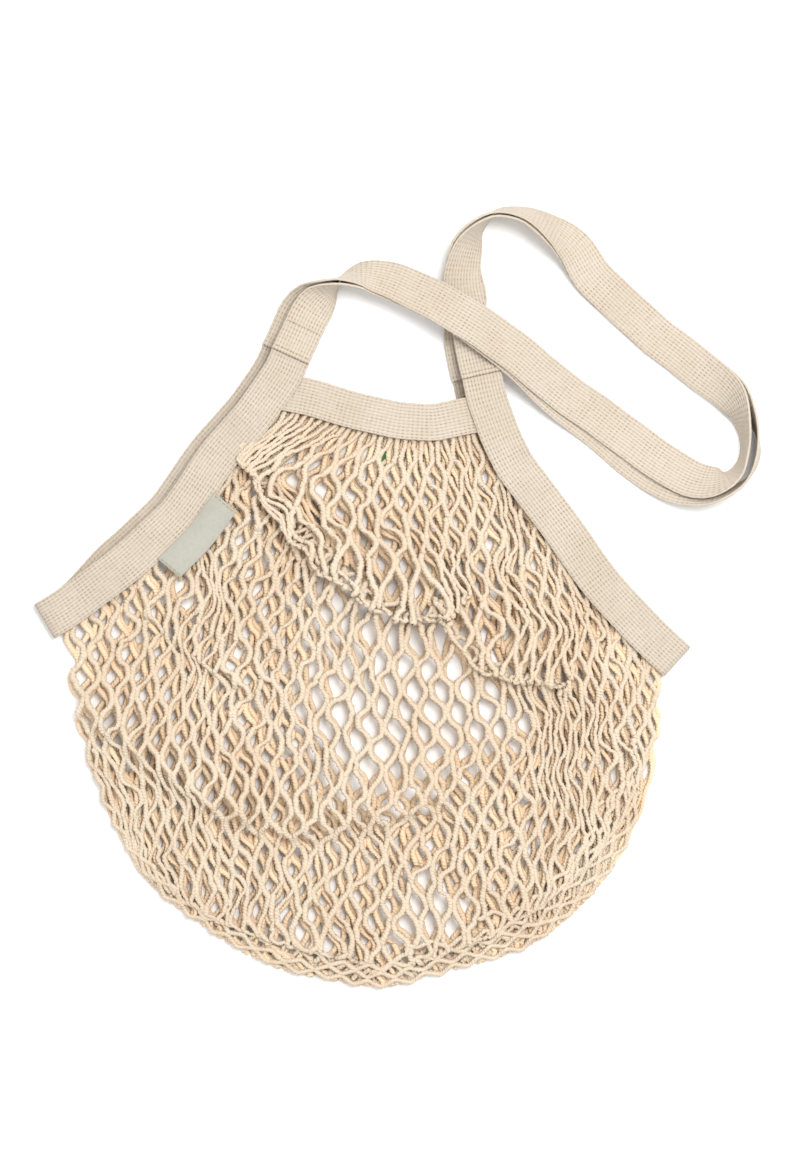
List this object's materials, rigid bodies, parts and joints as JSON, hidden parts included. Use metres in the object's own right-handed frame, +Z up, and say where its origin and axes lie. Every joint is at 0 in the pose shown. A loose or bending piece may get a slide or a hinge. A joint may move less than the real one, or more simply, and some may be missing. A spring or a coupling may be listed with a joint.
{
  "type": "string shopping bag",
  "caption": "Knitted cotton net bag with woven tape bands at the mouth and two long tape shoulder handles, lying flat with the handles laid over to one side.",
  "frame": {"origin": "centre of the footprint at floor level", "axes": "+Z up from the floor it lies on, +Y from the net's lower fold towards the mouth and handles, +X towards the right of the front"},
  "size_m": [0.4668, 0.5018, 0.027],
  "materials": {
    "net": "matte knitted cotton",
    "tape": "matte woven cotton",
    "label": "smooth satin tape",
    "care_label": "smooth satin tape"
  },
  "bodies": {
    "root": {"net_body": "net", "front_band": "tape", "back_band": "tape", "left_side_band": "tape", "right_side_band": "tape", "front_handle": "tape", "back_handle": "tape", "label": "label", "care_label": "care_label"}
  },
  "joints": []
}
